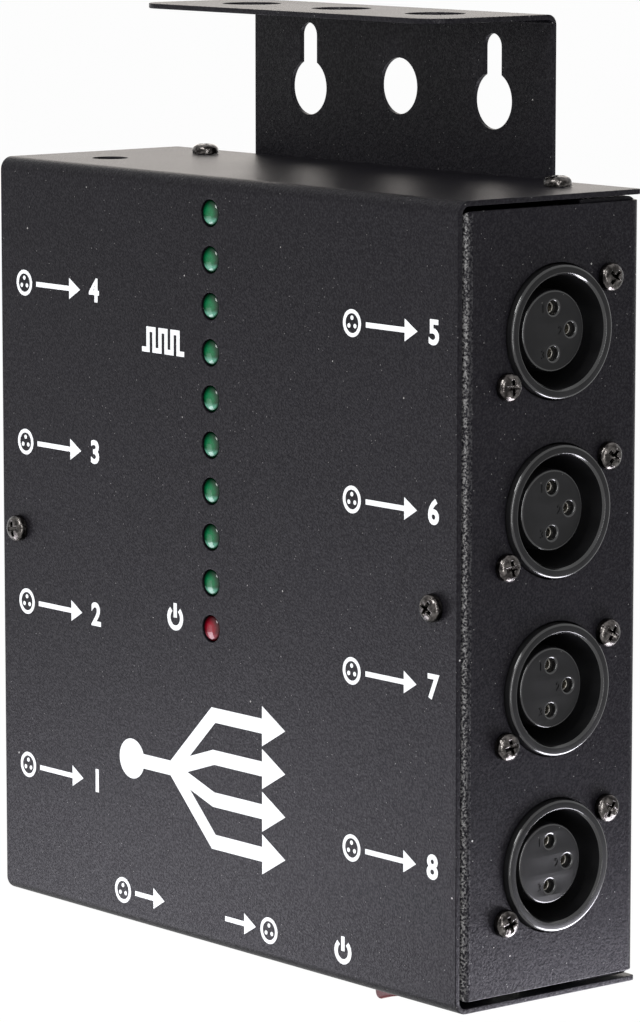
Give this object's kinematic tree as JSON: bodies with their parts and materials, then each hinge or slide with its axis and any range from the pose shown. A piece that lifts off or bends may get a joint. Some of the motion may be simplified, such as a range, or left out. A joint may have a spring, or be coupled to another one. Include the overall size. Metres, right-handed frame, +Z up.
{
  "type": "dmx splitter",
  "caption": "Wall-hung signal splitter: folded black steel case, round sockets on both sides, lamp column, rocker switch and keyhole hanging bracket.",
  "frame": {"origin": "on the wall plane, in the middle of the bracket's rear face across its width, level with the top of the case", "axes": "+X to the right as seen from the front, +Y into the wall, +Z up"},
  "size_m": [0.144, 0.0483, 0.1886],
  "materials": {
    "case_paint": "fine-textured black powder coat",
    "bracket_paint": "fine-textured black powder coat",
    "socket_moulding": "satin black moulded plastic",
    "screw_steel": "black-nickel plated steel",
    "green_lens": "clear-moulded dark green lens",
    "red_lens": "clear-moulded dark red lens",
    "rocker_red": "glossy red moulded plastic",
    "board_green": "solder-masked glass-fibre board",
    "capacitor_sleeve": "shrink-sleeved can",
    "bright_steel": "zinc-plated steel"
  },
  "bodies": {
    "case": {"front_cover": "case_paint", "chassis": "case_paint", "hanging_bracket": "bracket_paint", "output_socket_1": "socket_moulding", "output_socket_2": "socket_moulding", "output_socket_3": "socket_moulding", "output_socket_4": "socket_moulding", "output_socket_5": "socket_moulding", "output_socket_6": "socket_moulding", "output_socket_7": "socket_moulding", "output_socket_8": "socket_moulding", "link_socket": "socket_moulding", "input_plug": "socket_moulding", "output_socket_1_screw_1": "screw_steel", "output_socket_1_screw_2": "screw_steel", "output_socket_2_screw_1": "screw_steel", "output_socket_2_screw_2": "screw_steel", "output_socket_3_screw_1": "screw_steel", "output_socket_3_screw_2": "screw_steel", "output_socket_4_screw_1": "screw_steel", "output_socket_4_screw_2": "screw_steel", "output_socket_5_screw_1": "screw_steel", "output_socket_5_screw_2": "screw_steel", "output_socket_6_screw_1": "screw_steel", "output_socket_6_screw_2": "screw_steel", "output_socket_7_screw_1": "screw_steel", "output_socket_7_screw_2": "screw_steel", "output_socket_8_screw_1": "screw_steel", "output_socket_8_screw_2": "screw_steel", "link_socket_screw_1": "screw_steel", "link_socket_screw_2": "screw_steel", "input_plug_screw_1": "screw_steel", "input_plug_screw_2": "screw_steel", "front_screw_1": "screw_steel", "front_screw_2": "screw_steel", "top_screw_1": "screw_steel", "top_screw_2": "screw_steel", "bottom_screw_1": "screw_steel", "bottom_screw_2": "screw_steel", "bracket_screw_1": "screw_steel", "bracket_screw_2": "screw_steel", "signal_lamp_1": "green_lens", "signal_lamp_2": "green_lens", "signal_lamp_3": "green_lens", "signal_lamp_4": "green_lens", "signal_lamp_5": "green_lens", "signal_lamp_6": "green_lens", "signal_lamp_7": "green_lens", "signal_lamp_8": "green_lens", "signal_lamp_9": "green_lens", "power_lamp": "red_lens", "switch_housing": "socket_moulding", "power_jack": "socket_moulding", "power_jack_nut": "bright_steel", "main_board": "board_green", "left_socket_board": "board_green", "right_socket_board": "board_green", "smoothing_capacitor": "capacitor_sleeve", "voltage_regulator": "socket_moulding"},
    "rocker": {"power_rocker": "rocker_red"}
  },
  "joints": [
    {"name": "power_rocker_hinge", "type": "hinge", "parent": "case", "child": "rocker", "pos_m": [0.03463, -0.0238, -0.15], "axis": [0, 1, 0], "range_deg": [0, 21]}
  ]
}
